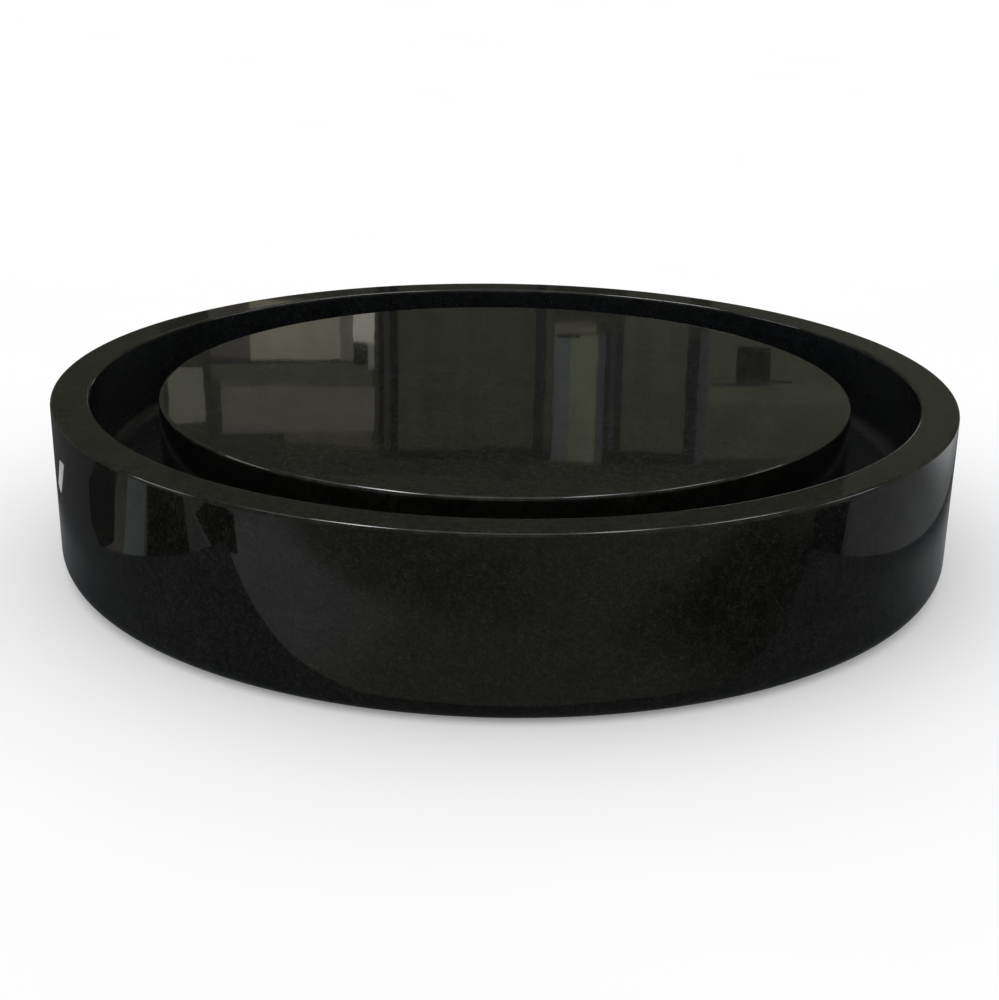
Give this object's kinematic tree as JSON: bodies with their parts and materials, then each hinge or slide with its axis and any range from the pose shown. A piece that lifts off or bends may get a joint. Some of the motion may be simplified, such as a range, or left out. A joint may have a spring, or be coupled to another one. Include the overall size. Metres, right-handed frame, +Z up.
{
  "type": "round stone basin with lift-out centre tray",
  "caption": "Low round basin of polished black stone with a flat rim, and a loose flat disc set just below the rim so that a ring channel stays open around it.",
  "frame": {"origin": "centre of the basin's flat underside", "axes": "+Z up, along the axis of the basin and its tray; +X to the right and +Y to the back, as the picture sees it"},
  "size_m": [0.42, 0.42, 0.078],
  "materials": {
    "basin_stone": "polished",
    "tray_stone": "polished",
    "pad_silicone": "matte"
  },
  "bodies": {
    "basin": {"basin": "basin_stone"},
    "tray": {"centre_tray": "tray_stone", "tray_pad_1": "pad_silicone", "tray_pad_2": "pad_silicone", "tray_pad_3": "pad_silicone", "tray_pad_4": "pad_silicone"}
  },
  "joints": [
    {"name": "tray_lift", "type": "slide", "parent": "basin", "child": "tray", "axis": [0, 0, 1], "range_m": [0, 0.1]}
  ]
}
